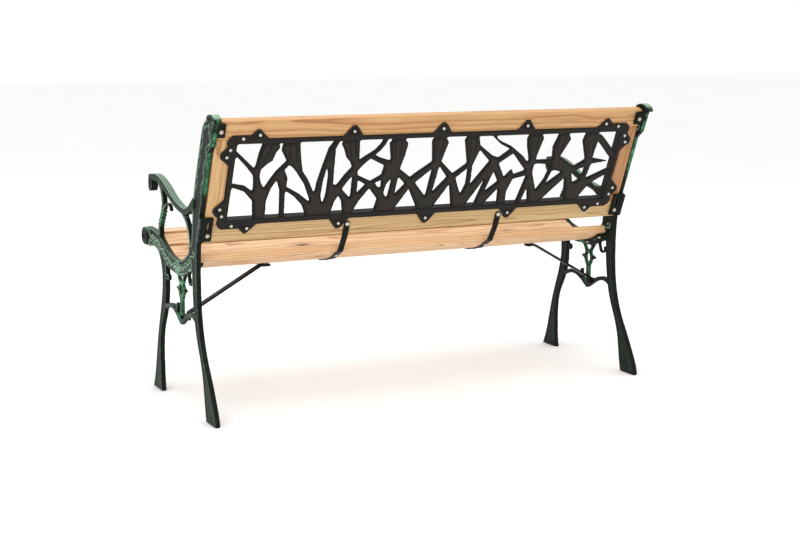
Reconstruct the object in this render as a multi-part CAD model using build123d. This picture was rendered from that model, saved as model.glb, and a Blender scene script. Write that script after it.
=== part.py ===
from build123d import *
import os
from math import cos, hypot, radians, sin

# Garden bench: two cast-iron ends, six seat slats, a framed back with a cast tulip
# panel, two seat straps and two braces.  Millimetres, +Z up, origin under the middle
# of the bench.  The sitter faces -Y and the bench is long in X.

# ---- overall sizes ----
LENGTH = 1220.0            # over the scrolls at the front of the seat
BACK_LEAN = 21.1           # the back leans rearwards, degrees from upright
PANEL_HEIGHT_ON_SLOPE = 604.5   # middle of the back panel, up the slope from the ground
BACK_FOOT_Y = -27.7        # where the slope of the back meets the ground

# ---- castings ----
SCROLL_WIDTH = 26.0        # the seat's front scrolls stand out furthest
ARM_WIDTH = 20.0           # armrest and cap
WEB = 13.0                 # thickness of the plain casting
TRIM_WEB = 9.0             # thickness of the small ornament
LEDGE_REACH = 20.0         # how far the slat ledge stands inwards
LEDGE_THICKNESS = 7.0
LEDGE_END = 0.72           # share of the rear slat's width that the ledge runs under
LUG_THICKNESS = 8.0
LUG_REACH = 20.0

# ---- timber ----
BOARD_WIDTH = 48.0         # back rails and stiles
BOARD_THICKNESS = 20.0
SLAT_WIDTH = 48.0
SLAT_THICKNESS = 20.0
SLAT_COUNT = 6
SLAT_EDGE = 3.0            # chamfer along the long edges
END_GAP = 1.5              # timber end to casting

# ---- back panel ----
STILE_WIDTH = 41.0         # end members of the wooden frame
OPENING_RISE = 110.0       # half height of that opening
PANEL_GAP = 0.8
BAR = 10.0                 # panel border
BAR_DEPTH = 24.0
FLANGE = 4.0               # lobes that lie on the timber
LATTICE = 9.0              # leaves and stems

# ---- steel straps and braces ----
STRAP_WIDTH = 15.0
STRAP_THICKNESS = 3.0
BRACE_WIDTH = 18.0
BRACE_THICKNESS = 5.0
BRACE_REACH = 195.0        # how far a brace runs in under the seat
BRACE_TAIL = 8.0           # brace below its bolt
TOUCH = 0.1                # paint gap between faces that are screwed together

# ---- fasteners ----
BOLT_D = 6.0
BOLT_FIT = 0.6             # hole over bolt
SCREW_D = 4.0
PANEL_SCREW = 16.0         # shank lengths under the head
STRAP_SCREW = 16.0
SEAT_SCREW = 22.0
PILOT_EXTRA = 2.0          # pilot hole beyond the screw point
HEAD_RISE = 2.4
WASHER = (BOLT_D + 0.4, 14.0, 1.4)  # bore, outer diameter, thickness
SCREW_WASHER = (SCREW_D + 0.4, 11.0, 1.0)
NUT_FLATS = 10.0
NUT_HEIGHT = 5.0

ARM_X = LENGTH / 2 - SCROLL_WIDTH / 2
WEB_INNER = ARM_X - WEB / 2
TIMBER_HALF = WEB_INNER - END_GAP
OPENING_HALF = TIMBER_HALF - STILE_WIDTH    # half length of the opening in the wooden frame
LEAN = radians(BACK_LEAN)
PANEL_Y = BACK_FOOT_Y + PANEL_HEIGHT_ON_SLOPE * sin(LEAN)
PANEL_Z = PANEL_HEIGHT_ON_SLOPE * cos(LEAN)
BACK = Plane(origin=(0, PANEL_Y, PANEL_Z), x_dir=(-1, 0, 0), z_dir=(0, cos(LEAN), -sin(LEAN)))
TIMBER_BACK = -FLANGE
TIMBER_FRONT = TIMBER_BACK - BOARD_THICKNESS
RAIL_RISE = OPENING_RISE + BOARD_WIDTH / 2
CLEAR_BOLT = BOLT_D + BOLT_FIT
CLEAR_SCREW = SCREW_D + BOLT_FIT

os.makedirs("parts", exist_ok=True)
nodes = {}


def back_point(u, rise, depth=0.0):
    """World point of a place on the sloping back: u to the right seen from behind."""
    return BACK.from_local_coords(Vector(u, rise, depth))


def back_yz(rise, depth):
    """Y and Z of a place on the sloping back."""
    p = back_point(0, rise, depth)
    return (p.Y, p.Z)


def slab(profile, x_from, x_to):
    """Side profile drawn in Y and Z, carried from x_from to x_to."""
    return Pos(x_from, 0, 0) * extrude(Plane.YZ * profile, amount=x_to - x_from)


def web(profile, thickness=WEB):
    """Side profile as a plate of the left casting, centred under its arm."""
    return slab(profile, ARM_X - thickness / 2, ARM_X + thickness / 2)


def closed(front, rear):
    """Outline between two smooth edges that run the same way."""
    ends = [Line(front[-1], rear[-1]), Line(rear[0], front[0])]
    return make_face([Spline(*front), ends[0], Spline(*rear), ends[1]])


def rod(points, width):
    """Smooth branch of one width with round ends."""
    path = Spline(*points)
    return trace(path, line_width=width) + Pos(*points[0]) * Circle(width / 2) + Pos(*points[-1]) * Circle(width / 2)


def mirrored(shape):
    return mirror(shape, about=Plane.YZ)


# ---------------------------------------------------------------- seat line
SEAT_LINE = [(-213, 386), (-178, 386), (-142, 377), (-102, 358), (-57, 341.5), (-12, 335.5),
             (27, 340), (60, 350), (99, 372)]
seat_curve = Spline(*SEAT_LINE)


def slat_seats():
    """Underside of each slat as (front point, rear point), spaced evenly along the seat line."""
    total = seat_curve.length
    step = (total - SLAT_WIDTH) / (SLAT_COUNT - 1)
    seats = []
    for i in range(SLAT_COUNT):
        a = seat_curve.position_at((i * step) / total)
        mid = seat_curve.position_at((i * step + SLAT_WIDTH / 2) / total)
        slope = seat_curve.tangent_at((i * step + SLAT_WIDTH / 2) / total)
        half = Vector(slope.X, slope.Y, 0).normalized() * (SLAT_WIDTH / 2)
        lift = (a.Y + half.Y - mid.Y) * 0.5
        front = (mid.X - half.X, mid.Y - half.Y + lift)
        rear = (mid.X + half.X, mid.Y + half.Y + lift)
        seats.append((front, rear))
    return seats


SEATS = slat_seats()


def seat_plane(i, x=0.0):
    """Plane on the underside of slat i: x along the bench, z up out of the slat."""
    (ya, za), (yb, zb) = SEATS[i]
    along = Vector(0, yb - ya, zb - za).normalized()
    up = Vector(0, -along.Z, along.Y)
    return Plane(origin=(x, (ya + yb) / 2, (za + zb) / 2), x_dir=(1, 0, 0), z_dir=up)


def under_line(drop):
    """Corner points of the slats' undersides, moved square to each slat by drop."""
    line = []
    for (ya, za), (yb, zb) in SEATS:
        run = hypot(yb - ya, zb - za)
        ny, nz = (zb - za) / run, -(yb - ya) / run
        line.append((ya + ny * drop, za + nz * drop))
        line.append((yb + ny * drop, zb + nz * drop))
    return line


# ---------------------------------------------------------------- cast end
FRONT_LEG = ([(-200, 0), (-190, 22), (-181, 50), (-169, 100), (-156, 150), (-139, 200), (-126, 240),
              (-119, 275), (-119, 305), (-127, 332), (-147, 358)],
             [(-132, 0), (-137, 30), (-139, 60), (-140, 110), (-132, 160), (-112, 200), (-98, 235),
              (-92, 270), (-91, 300), (-88, 330), (-84, 350)])
REAR_LEG = ([(184, 0), (173, 50), (163, 100), (143, 150), (120, 200), (108, 245), (100, 300), (97, 350),
             (96, 400), (101, 450)],
            [(247, 0), (243, 18), (228, 50), (199, 100), (168, 150), (147, 200), (135, 250), (130, 300),
             (128.5, 350), (131, 400), (137, 450)])
POST_FRONT = [(-89.2, -53.4), (15.3, -60.5), (118, -59)]    # rise and depth, from the panel's middle
POST_BACK = -6.0           # rear edge of the post, from the face of the panel
HEAD_BACK = 8.0            # rear edge of the head block
HEAD_LOW = RAIL_RISE - 42  # rise where the head block begins
TIMBER_TOP = back_yz(RAIL_RISE + BOARD_WIDTH / 2, TIMBER_BACK)
HEAD = [(15, 1.2), (4, 10), (-20, 9), (-48, -2)]    # from the top rail's rear upper edge
CAP_TOP = [(-32, 4), (-24, 12), (-8, 16.2), (8, 14), (18, 7), (23, -4)]
CAP_UNDER = [(-28, 1), (-21, 7), (-8, 10), (4, 8.5), (12, 2.5), (16, -5)]
LOWER_LUG = (-RAIL_RISE - 17, -RAIL_RISE + 46)
UPPER_LUG = (RAIL_RISE - 15, RAIL_RISE + 19)
LUG_BOLTS = (RAIL_RISE + 0.5, -RAIL_RISE - 0.5)
LUG_BOLT_X = TIMBER_HALF - 8
BAND = ([(-242, 398), (-226, 408), (-185, 410), (-145, 403), (-122, 392), (-82, 372), (-43, 362.5), (-3, 359.5),
         (37, 368), (70, 386), (92, 408), (104, 432)],
        [(-238, 362), (-222, 361), (-180, 366), (-145, 358), (-112, 344), (-82, 333), (-43, 325), (-3, 322),
         (30, 324), (62, 335), (88, 344), (118, 350)])
ARM_TOP = [(-203, 546), (-188, 550), (-138, 551), (-108, 543), (-68, 527), (-39, 513), (1, 500), (41, 492.5),
           (66, 494), (92, 507), (118, 527)]
ARM_UNDER = [(-203, 534), (-188, 535), (-138, 535), (-108, 526), (-68, 510), (-39, 497), (1, 484.5), (41, 478),
             (66, 479), (92, 488), (118, 502)]
ARM_ROLL = (-195, 528, 14.0, 22.0)    # centre and half sizes of the curl at its front
SEAT_ROLL = (-238, 386, 23.0)
SUPPORT = [(-134, 392), (-136, 425), (-122, 450), (-111, 470), (-110, 495), (-122, 522), (-138, 535)]
BRANCH = [(-113, 460), (-100, 476), (-80, 486), (-64, 484), (-57, 474)]
ARCH = [(28, 482), (56, 464), (76, 440), (84, 415), (82, 392)]
STRUT = [(-108, 222), (-88, 230), (-58, 236), (-26, 229), (0, 214), (12, 208), (26, 214), (54, 230), (84, 238),
         (112, 232)]
STEM_Y = 12.0
STEM_FOOT = 208.0
BRACE_Y = 30.0
BRACE_BOLT_Z = 223.0
BRACE_BOSS = 9.0           # radius of the boss on the strut that a brace is bolted to


def stem_profile():
    """Forked stem from the strut up to the seat band, with a small eye and two leaves."""
    left_arm = rod([(STEM_Y - 8, 300), (STEM_Y - 18, 318), (STEM_Y - 32, 334)], 8)
    right_arm = rod([(STEM_Y + 8, 300), (STEM_Y + 18, 318), (STEM_Y + 34, 336)], 8)
    stalk = rod([(STEM_Y, STEM_FOOT), (STEM_Y, 240), (STEM_Y, 268)], 15)
    eye = Pos(STEM_Y, 286) * (Ellipse(17, 24) - Ellipse(9, 14))
    leaf_left = make_face(Polyline((STEM_Y - 8, 298), (STEM_Y - 34, 290), (STEM_Y - 10, 278), close=True))
    leaf_right = make_face(Polyline((STEM_Y + 8, 300), (STEM_Y + 36, 288), (STEM_Y + 10, 278), close=True))
    return left_arm + right_arm + stalk + eye + leaf_left + leaf_right


def trim_profile():
    """Small leaves and curls on the strut, the band and the front leg."""
    upright = make_face(Polyline((-26, 226), (-22, 250), (-12, 252), (-14, 222), close=True))
    hook = rod([(62, 338), (66, 322), (75, 311), (85, 313), (88, 325)], 6)
    curl = Pos(-82, 303) * Circle(9)
    return upright + hook + curl


def from_timber_top(points):
    """Y and Z of points given from the top rail's rear upper edge."""
    return [(TIMBER_TOP[0] + y, TIMBER_TOP[1] + z) for y, z in points]


def post_profile():
    """Rear leg and back post in one, with the head block at the top."""
    foot_front, foot_rear = REAR_LEG
    front_points = foot_front + [back_yz(rise, depth) for rise, depth in POST_FRONT]
    back_edge = [back_yz(LOWER_LUG[1], POST_BACK), back_yz(HEAD_LOW - 14, POST_BACK), back_yz(HEAD_LOW + 8, HEAD_BACK)]
    upper = Polyline(foot_rear[-1], *back_edge, *from_timber_top(HEAD), front_points[-1])
    return make_face([Spline(*front_points), upper, Spline(*foot_rear), Line(foot_rear[0], foot_front[0])])


def lug(rise_low, rise_high):
    """Ear behind the timber: a cheek along the timber end and a plate behind it."""
    rise = rise_high - rise_low
    mid = (rise_low + rise_high) / 2
    cheek_depth = HEAD_BACK - TIMBER_FRONT
    cheek = BACK * Pos(-ARM_X, mid, (HEAD_BACK + TIMBER_FRONT) / 2) * Box(WEB, rise, cheek_depth)
    plate_x = (WEB_INNER + WEB_INNER - LUG_REACH) / 2
    plate_mid = TIMBER_BACK + TOUCH + LUG_THICKNESS / 2
    plate = BACK * Pos(-plate_x, mid, plate_mid) * Box(LUG_REACH + 2, rise, LUG_THICKNESS)
    return cheek + plate


def back_bore(rise, x, diameter, depth=120.0):
    return BACK * Pos(-x, rise, 0) * Cylinder(diameter / 2, depth)


def ledge():
    """Ledge on the inner side that the slats are screwed to, flat under each slat."""
    top = under_line(0.0)
    bottom = under_line(LEDGE_THICKNESS)
    for edge in (top, bottom):
        (ya, za), (yb, zb) = edge[-2:]
        edge[-1] = (ya + LEDGE_END * (yb - ya), za + LEDGE_END * (zb - za))
    profile = make_face(Polyline(*top, *reversed(bottom), close=True))
    return slab(profile, WEB_INNER - LEDGE_REACH, ARM_X)


def seat_bore(i, x, diameter, length):
    return seat_plane(i, x) * Cylinder(diameter / 2, length)


SEAT_SCREW_X = WEB_INNER - LEDGE_REACH / 2


def cast_end():
    """Left casting."""
    body = web(closed(*FRONT_LEG)) + web(post_profile()) + web(closed(*BAND))
    body += web(rod(STRUT, 11)) + web(rod(SUPPORT, 14)) + web(rod(ARCH, 11))
    body += web(rod(BRANCH, 7), TRIM_WEB) + web(stem_profile(), TRIM_WEB) + web(trim_profile(), TRIM_WEB)
    body += web(closed(ARM_TOP, ARM_UNDER), ARM_WIDTH)
    body += web(Pos(ARM_ROLL[0], ARM_ROLL[1]) * Ellipse(ARM_ROLL[2], ARM_ROLL[3]), ARM_WIDTH)
    body += web(Pos(SEAT_ROLL[0], SEAT_ROLL[1]) * Circle(SEAT_ROLL[2]), SCROLL_WIDTH)
    body += web(Pos(BRACE_Y, BRACE_BOLT_Z) * Circle(BRACE_BOSS))
    body += web(closed(from_timber_top(CAP_TOP), from_timber_top(CAP_UNDER)), ARM_WIDTH)
    body += ledge() + lug(*LOWER_LUG) + lug(*UPPER_LUG)
    for rise in LUG_BOLTS:
        body -= back_bore(rise, LUG_BOLT_X, CLEAR_BOLT)
    slot_mid = (LUG_BOLTS[1] + LOWER_LUG[1]) / 2
    body -= BACK * Pos(-LUG_BOLT_X, slot_mid, 2) * Box(6, 22, 30)
    for i in range(SLAT_COUNT):
        body -= seat_bore(i, SEAT_SCREW_X, CLEAR_SCREW, 3 * LEDGE_THICKNESS)
    body -= Pos(ARM_X, BRACE_Y, BRACE_BOLT_Z) * Rot(0, 90, 0) * Cylinder(CLEAR_BOLT / 2, 3 * ARM_WIDTH)
    return body


# ---------------------------------------------------------------- timber
def rail(rise, is_lower):
    """Top or bottom rail of the back, with bolt and screw holes."""
    body = BACK * Pos(0, rise, (TIMBER_BACK + TIMBER_FRONT) / 2) * Box(2 * TIMBER_HALF, BOARD_WIDTH, BOARD_THICKNESS)
    body = chamfer(body.edges().filter_by(Axis.X), 1.5)
    bolt_rise = LUG_BOLTS[1] if is_lower else LUG_BOLTS[0]
    for side in (-1, 1):
        body -= back_bore(bolt_rise, side * LUG_BOLT_X, CLEAR_BOLT)
        if is_lower:
            body -= back_bore(STRAP_BOLT_RISE, side * STRAP_X, CLEAR_BOLT)
    for u, rise_at in panel_screw_places():
        if (rise_at < -OPENING_RISE) if is_lower else (rise_at > OPENING_RISE):
            body -= back_bore(rise_at, -u, SCREW_D, 2 * (PANEL_SCREW + PILOT_EXTRA))
    return body


def stile(side):
    """Short upright between the rails; side is 1 for +X."""
    width = TIMBER_HALF - OPENING_HALF
    rise = 2 * OPENING_RISE
    body = BACK * Pos(-side * (TIMBER_HALF + OPENING_HALF) / 2, 0, (TIMBER_BACK + TIMBER_FRONT) / 2)
    body = body * Box(width, rise, BOARD_THICKNESS)
    for u, rise_at in panel_screw_places():
        if abs(rise_at) < OPENING_RISE and u * side < 0:
            body -= back_bore(rise_at, -u, SCREW_D, 2 * (PANEL_SCREW + PILOT_EXTRA))
    return body


def slat(i):
    """Seat slat i, counted from the front."""
    block = Pos(0, 0, SLAT_THICKNESS / 2) * Box(2 * TIMBER_HALF, SLAT_WIDTH, SLAT_THICKNESS)
    block = chamfer(block.edges().filter_by(Axis.X).sort_by(Axis.Z)[-2:], SLAT_EDGE)
    body = seat_plane(i) * block
    for side in (-1, 1):
        body -= seat_bore(i, side * SEAT_SCREW_X, SCREW_D, 2 * STRAP_SCREW)
        body -= seat_bore(i, side * STRAP_X, SCREW_D, 2 * STRAP_SCREW)
        if i == BRACE_SLAT:
            body -= Pos(side * BRACE_SCREW_X, BRACE_Y, brace_ceiling()) * Cylinder(SCREW_D / 2, 2 * STRAP_SCREW)
    return body


# ---------------------------------------------------------------- back panel
# Corner lobes and screws are given from the corner of the opening: outwards and up.
CORNER = [(0.6, -67.5), (24, -46.5), (27.5, -37.5), (24, -30.5), (11, -16.5), (14, -5.5), (10, 4.5),
          (0.6, 12.9), (-45, 12.9), (-58, 26.5), (-66, 26.5), (-90, 3.2)]
CORNER_SCREWS = [(-25.3, 4.0), (-65.5, 12.3), (2.8, -23.6), (9.5, -42.2)]
LOBE = [(-26, 3.2), (-8, 27), (-4, 30.5), (4, 30.5), (8, 27), (26, 3.2)]
LOBE_SHARE = 0.4416        # outer lobes, as a share of the half opening
LOBES_AT = (-LOBE_SHARE * OPENING_HALF, 0.0, LOBE_SHARE * OPENING_HALF)
LOBE_SCREW = 14.0          # above the edge of the opening
PATTERN = (548.0, 110.0)   # half sizes of the opening that the windows are drawn for
PATTERN_SHIFT = (3.0, -1.0)

WINDOWS = [
    [(-538, 101.5), (-474, 101.5), (-480, 76.5), (-485, 34.5), (-538, 83.5)],
    [(-538, 71.5), (-508, 41.5), (-487, 16.5), (-484, -0.5), (-482, -25.5), (-505, -8.5), (-538, -1.5)],
    [(-538, -10.5), (-505, -23.5), (-480, -50.5), (-473, -98), (-538, -98)],
    [(-434, 99.5), (-422, 99.5), (-424, 79.5), (-407, 51.5), (-430, 26.5), (-444, 3.5), (-455, -18.5), (-466, -0.5),
     (-471, 16.5), (-470, 33.5), (-458, 45.5), (-444, 55.5), (-438, 76.5), (-429, 88.5)],
    [(-426, 3.5), (-414, -25.5), (-405, -98), (-442, -98), (-445, -50.5), (-438, -18.5)],
    [(-400, -26.5), (-375, -43.5), (-350, -68.5), (-336, -98), (-392, -98)],
    [(-410, 29.5), (-400, 41.5), (-390, 34.5), (-378, 21.5), (-352, -13.5), (-328, -63.5), (-360, -38.5),
     (-398, -16.5), (-398, 6.5)],
    [(-380, 101.5), (-291, 101.5), (-303, 81.5), (-313, 31.5), (-320, -8.5), (-321, -40.5), (-345, 1.5),
     (-362, 23.5), (-370, 51.5), (-376, 79.5)],
    [(-300, 33.5), (-293, 11.5), (-291, -38.5), (-295, -73.5), (-305, -43.5), (-305, -8.5)],
    [(-278, 99.5), (-268, 99.5), (-270, 89.5), (-262, 76.5), (-252, 53.5), (-240, 41.5), (-233, 28.5), (-250, 6.5),
     (-266, -19.5), (-276, -16.5), (-280, 21.5), (-285, 79.5)],
    [(-225, 101.5), (-160, 101.5), (-167, 86.5), (-179, 71.5), (-202, 56.5), (-217, 45.5), (-220, 66.5)],
    [(-228, 6.5), (-223, -56.5), (-240, -40.5), (-251, -29.5), (-240, -10.5)],
    [(-212, -7.5), (-188, -21.5), (-208, -45)],
    [(-188, 49.5), (-146, 28.5), (-149, 3.5), (-176, -12.5), (-214, 5.5), (-217, 18.5), (-202, 36.5)],
    [(-258, -46.5), (-246, -63.5), (-237, -98), (-272, -98), (-265, -63.5)],
    [(-177, -31.5), (-149, -63.5), (-154, -98), (-213, -98), (-200, -66.5)],
    [(-164, -16.5), (-147, -10.5), (-144, -34.5), (-155, -28.5)],
    [(-149, 100.5), (-135, 100.5), (-142, 86.5), (-130, 40.5), (-161, 50.5), (-177, 59.5), (-164, 71.5), (-154, 86.5)],
    [(-118.5, -2.5), (-121.5, -63.5), (-135, -46.5), (-132, -22.5)],
    [(-104, 100.5), (-20, 100.5), (-26, 90.5), (-14, 33.5), (-55, 3.5), (-67, -7.5), (-102, 18.5), (-95, 53.5),
     (-92, 87.5)],
    [(-102, -3.5), (-79, -25.5), (-104, -55)],
    [(-66, -38.5), (-31, -98), (-100, -98)],
    [(-10, 15.5), (-14, -63.5), (-52, -21.5)],
    [(8, 21.5), (37, -12.5), (2, -55)],
    [(11, 100.5), (73, 100.5), (67, 89.5), (87, 24.5), (52, -2.5), (11, 34.5), (21, 86.5)],
    [(92, 12.5), (96, -34.5), (87, -63.5), (70, -31.5), (62, -13.5)],
    [(48, -30), (67, -98), (10, -98)],
    [(105, 99.5), (143, 99.5), (174, 74.5), (206, 59.5), (177, 36.5), (159, 42.5), (114, 74.5)],
    [(115, 61.5), (152, 27.5), (109, -38.5), (103.5, 18.5)],
    [(155, 99.5), (254, 99.5), (250, 86.5), (256, 61.5), (266, 36.5), (272, 15.5), (249, 38.5), (208, 67.5),
     (180, 79.5), (164, 88.5)],
    [(152, -12.5), (131, -98), (104, -98)],
    [(170, -0.5), (190, -31.5), (155, -60.5)],
    [(195, -49.5), (202, -98), (157, -98)],
    [(180, 21.5), (217, 47.5), (247, 15.5), (266, -3.5), (233, -13.5), (224, 1.5), (206, -20.5)],
    [(273, -17.5), (257, -98), (226, -98), (222, -59.5), (233, -25.5)],
    [(283, -50.5), (295, -98), (271, -98)],
    [(288, 98.5), (344, 98.5), (334, 60.5), (340, 25.5), (291, 25.5), (290, 38.5), (299, 90.5)],
    [(288, 15.5), (341, 11.5), (330, -31.5), (312, -63.5), (288, -9.5)],
    [(348, -4.5), (380, -13.5), (335.5, -48)],
    [(392.5, -29.5), (409, -98), (328, -98)],
    [(373, 98.5), (427, 98.5), (422, 74.5), (444, 20.5), (413, 2), (362, 34), (383, 82.5)],
    [(458, 98.5), (538, 98.5), (538, 38), (480, 88.5)],
    [(469, 74.5), (538, 10), (465, 24.5)],
    [(466, 7.5), (538, 16), (538, -3), (459, -36.5)],
    [(410.5, -14.5), (444, -34.5), (422, -48)],
    [(422, -9), (449, -0.5), (447, -25.5)],
    [(538, -18), (538, -84), (481, -48)],
    [(474.5, -52.5), (538, -98), (445, -98)],
]


def panel_screw_places():
    """Places (u, rise) of all the panel screws."""
    corners = [(su * (OPENING_HALF + u), sv * (OPENING_RISE + v))
               for u, v in CORNER_SCREWS for su in (-1, 1) for sv in (-1, 1)]
    return corners + [(u, sv * (OPENING_RISE + LOBE_SCREW)) for u in LOBES_AT for sv in (-1, 1)]


def panel_outline():
    """Lobed outline of the flange: one corner and one lobe, repeated round the border."""
    corner = [(-OPENING_HALF - u, OPENING_RISE + v) for u, v in CORNER]
    lobes = [(u + at, OPENING_RISE + v) for at in LOBES_AT for u, v in LOBE]
    top = corner + lobes + [(-u, v) for u, v in reversed(corner)]
    return top + [(u, -v) for u, v in reversed(top)]


def window(points):
    """One opening between the leaves, kept inside the border."""
    du, dv = PATTERN_SHIFT
    wide = OPENING_HALF / PATTERN[0]
    high = OPENING_RISE / PATTERN[1]
    limit_u = OPENING_HALF - PANEL_GAP - BAR
    limit_v = OPENING_RISE - PANEL_GAP - BAR
    moved = [((u + du) * wide, (v + dv) * high) for u, v in points]
    placed = [(max(-limit_u, min(limit_u, u)), max(-limit_v, min(limit_v, v))) for u, v in moved]
    return make_face(Polyline(*placed, close=True))


def tulip_panel():
    """Cast back panel: lobed flange, deep border and the pierced tulip lattice."""
    border_u = OPENING_HALF - PANEL_GAP
    border_v = OPENING_RISE - PANEL_GAP
    hole = Rectangle(2 * (border_u - BAR), 2 * (border_v - BAR))
    flange = make_face(Polyline(*panel_outline(), close=True)) - hole
    border = Rectangle(2 * border_u, 2 * border_v) - hole
    lattice = Rectangle(2 * border_u - BAR, 2 * border_v - BAR)
    lattice_body = extrude(lattice, amount=-LATTICE)
    for points in WINDOWS:
        lattice_body -= Pos(0, 0, -LATTICE - 1) * extrude(window(points), amount=LATTICE + 2)
    body = extrude(flange, amount=-FLANGE) + extrude(border, amount=-BAR_DEPTH) + lattice_body
    for u, v in panel_screw_places():
        body -= Pos(u, v, 0) * Cylinder(CLEAR_SCREW / 2, 3 * FLANGE)
    return BACK * body


# ---------------------------------------------------------------- straps and braces
STRAP_BOLT_RISE = -OPENING_RISE - 18.0
STRAP_X = LOBES_AT[2] - 25.6    # beside the outer lobe


def strap_path():
    """Centre line of a strap in Y and Z: down the rail, round the rear slat, under the seat."""
    half = STRAP_THICKNESS / 2 + TOUCH
    under = list(reversed(under_line(half)))
    top = back_yz(STRAP_BOLT_RISE, TIMBER_BACK + half)
    low = back_yz(-OPENING_RISE - BOARD_WIDTH - 4, TIMBER_BACK + half)
    (ya, za), (yb, zb) = SEATS[-1]
    run = hypot(yb - ya, zb - za)
    ty, tz = (yb - ya) / run, (zb - za) / run
    past = half + 1.0
    lower_rear = (yb + ty * past + tz * half, zb + tz * past - ty * half)
    return [top, low, lower_rear] + under[1:]


def strap(side):
    path = Polyline(*strap_path())
    strip = trace(path, line_width=STRAP_THICKNESS)
    body = slab(strip, side * STRAP_X - STRAP_WIDTH / 2, side * STRAP_X + STRAP_WIDTH / 2)
    eye_depth = TIMBER_BACK + STRAP_THICKNESS / 2 + TOUCH
    body += BACK * Pos(-side * STRAP_X, STRAP_BOLT_RISE, eye_depth) * Cylinder(STRAP_WIDTH / 2, STRAP_THICKNESS)
    body -= back_bore(STRAP_BOLT_RISE, side * STRAP_X, CLEAR_BOLT)
    for i in range(SLAT_COUNT):
        body -= seat_bore(i, side * STRAP_X, CLEAR_SCREW, 20)
    return body


BRACE_SLAT = 4
BRACE_TOP_X = ARM_X - BRACE_REACH
BRACE_SCREW_X = BRACE_TOP_X - 14


def brace_ceiling():
    """Lowest height of the slat's underside over the width of the brace."""
    (ya, za), (yb, zb) = SEATS[BRACE_SLAT]
    edges = (BRACE_Y - BRACE_WIDTH / 2, BRACE_Y + BRACE_WIDTH / 2)
    return min(za + (zb - za) * (max(y, ya) - ya) / (yb - ya) for y in edges)


def brace_levels():
    """Where the left brace's centre line runs: x at the casting and z under the slat."""
    half = BRACE_THICKNESS / 2 + TOUCH
    return WEB_INNER - half, brace_ceiling() - half


def brace():
    """Left brace: flat bar from the casting's strut up to the underside of a slat."""
    wall, ceiling = brace_levels()
    points = [(wall, BRACE_BOLT_Z - BRACE_TAIL), (wall, BRACE_BOLT_Z + 10), (BRACE_TOP_X, ceiling),
              (BRACE_SCREW_X - 12, ceiling)]
    strip = trace(Polyline(*points), line_width=BRACE_THICKNESS)
    body = Pos(0, BRACE_Y + BRACE_WIDTH / 2, 0) * extrude(Plane.XZ * strip, amount=BRACE_WIDTH)
    body -= Pos(wall, BRACE_Y, BRACE_BOLT_Z) * Rot(0, 90, 0) * Cylinder(CLEAR_BOLT / 2, 20)
    body -= Pos(BRACE_SCREW_X, BRACE_Y, ceiling) * Cylinder(CLEAR_SCREW / 2, 20)
    return body


# ---------------------------------------------------------------- fasteners
def dome(diameter, rise):
    """Low round head standing on z = 0."""
    head = Cylinder(diameter / 2, rise, align=(Align.CENTER, Align.CENTER, Align.MIN))
    return fillet(head.edges().group_by(Axis.Z)[-1], rise * 0.8)


def bolt(grip, head_d):
    """Bolt with its head above z = 0 and its shank down to -grip."""
    return dome(head_d, HEAD_RISE) + Pos(0, 0, -grip / 2) * Cylinder(BOLT_D / 2, grip)


def screw(grip, head_d=8.0):
    return dome(head_d, HEAD_RISE) + Pos(0, 0, -grip / 2) * Cylinder((SCREW_D - 0.2) / 2, grip)


def nut():
    """Hexagon nut whose seat is z = 0 and which hangs below it."""
    hexagon = RegularPolygon(NUT_FLATS / 2, 6, major_radius=False) - Circle(BOLT_D / 2 + 0.05)
    return extrude(hexagon, amount=-NUT_HEIGHT)


def washer(size=WASHER):
    bore, outer, thick = size
    return extrude(Circle(outer / 2) - Circle(bore / 2), amount=-thick)


def lug_fasteners():
    """Bolts from behind through the ears and the rails, with washers and nuts in front."""
    bolts, washers, nuts = [], [], []
    seat = TIMBER_BACK + TOUCH + LUG_THICKNESS
    for rise in LUG_BOLTS:
        for side in (-1, 1):
            place = BACK * Pos(-side * LUG_BOLT_X, rise, 0)
            grip = seat - TIMBER_FRONT + WASHER[2] + NUT_HEIGHT + 4
            bolts.append(place * Pos(0, 0, seat) * bolt(grip, 11))
            washers.append(place * Pos(0, 0, TIMBER_FRONT) * washer())
            nuts.append(place * Pos(0, 0, TIMBER_FRONT - WASHER[2]) * nut())
    return bolts, washers, nuts


def turned_down(place, depth):
    """The same place facing the other way, depth below it."""
    return place * Pos(0, 0, -depth) * Rot(180, 0, 0)


def seat_fasteners():
    """Screws with washers, driven up through the ledge into each end of each slat."""
    screws, washers = [], []
    for i in range(SLAT_COUNT):
        for side in (-1, 1):
            place = seat_plane(i, side * SEAT_SCREW_X)
            washers.append(place * Pos(0, 0, -LEDGE_THICKNESS) * washer(SCREW_WASHER))
            screws.append(turned_down(place, LEDGE_THICKNESS + SCREW_WASHER[2]) * screw(SEAT_SCREW))
    return screws, washers


def strap_fasteners():
    """Screws up into the slats, and a bolt with a nut through the rail."""
    screws, bolts, nuts = [], [], []
    drop = STRAP_THICKNESS + 2 * TOUCH
    for side in (-1, 1):
        for i in range(SLAT_COUNT):
            screws.append(turned_down(seat_plane(i, side * STRAP_X), drop) * screw(STRAP_SCREW))
        place = BACK * Pos(-side * STRAP_X, STRAP_BOLT_RISE, 0)
        seat = TIMBER_BACK + STRAP_THICKNESS + 2 * TOUCH
        bolts.append(place * Pos(0, 0, seat) * bolt(seat - TIMBER_FRONT + NUT_HEIGHT + 4, 11))
        nuts.append(place * Pos(0, 0, TIMBER_FRONT) * nut())
    return screws, bolts, nuts


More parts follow.
